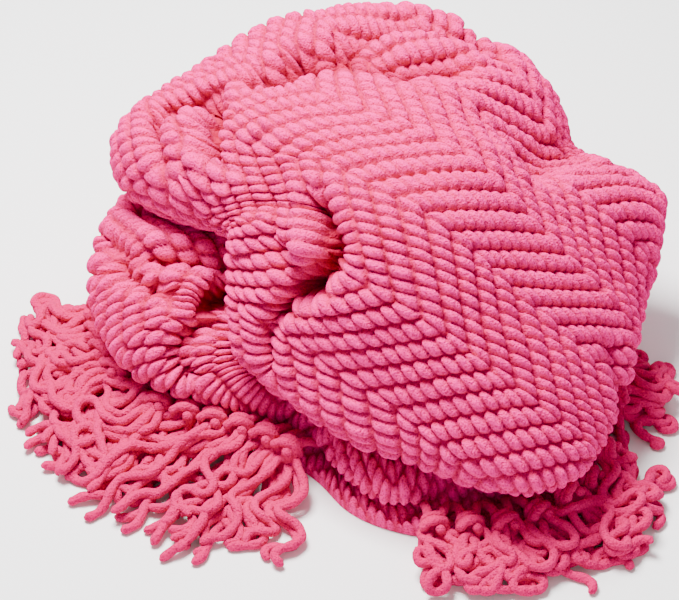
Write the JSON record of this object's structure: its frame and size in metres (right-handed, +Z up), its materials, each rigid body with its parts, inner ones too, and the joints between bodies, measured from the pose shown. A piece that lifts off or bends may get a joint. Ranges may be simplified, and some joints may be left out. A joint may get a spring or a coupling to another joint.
{
  "type": "throw_blanket",
  "caption": "Chunky chenille throw in a zigzag knit with knotted tassels, lying where it was dropped in a rounded heap.",
  "frame": {"origin": "middle of the heap's bounding box at floor level", "axes": "+Z is up from the floor; -Y faces the viewer of the picture; +X is to that viewer's right, along the heap's longest side"},
  "size_m": [0.6651, 0.6198, 0.312],
  "materials": {
    "pink chenille knit": "matte plush",
    "pink fringe yarn": "matte plush"
  },
  "bodies": {
    "root": {"blanket": "pink chenille knit", "tassel_left_1": "pink fringe yarn", "tassel_left_2": "pink fringe yarn", "tassel_left_3": "pink fringe yarn", "tassel_left_4": "pink fringe yarn", "tassel_left_5": "pink fringe yarn", "tassel_left_6": "pink fringe yarn", "tassel_left_7": "pink fringe yarn", "tassel_left_8": "pink fringe yarn", "tassel_left_9": "pink fringe yarn", "tassel_left_10": "pink fringe yarn", "tassel_left_11": "pink fringe yarn", "tassel_front_1": "pink fringe yarn", "tassel_front_2": "pink fringe yarn", "tassel_front_3": "pink fringe yarn", "tassel_front_4": "pink fringe yarn", "tassel_front_5": "pink fringe yarn", "tassel_front_6": "pink fringe yarn", "tassel_front_7": "pink fringe yarn", "tassel_right_1": "pink fringe yarn", "tassel_right_2": "pink fringe yarn"}
  },
  "joints": []
}
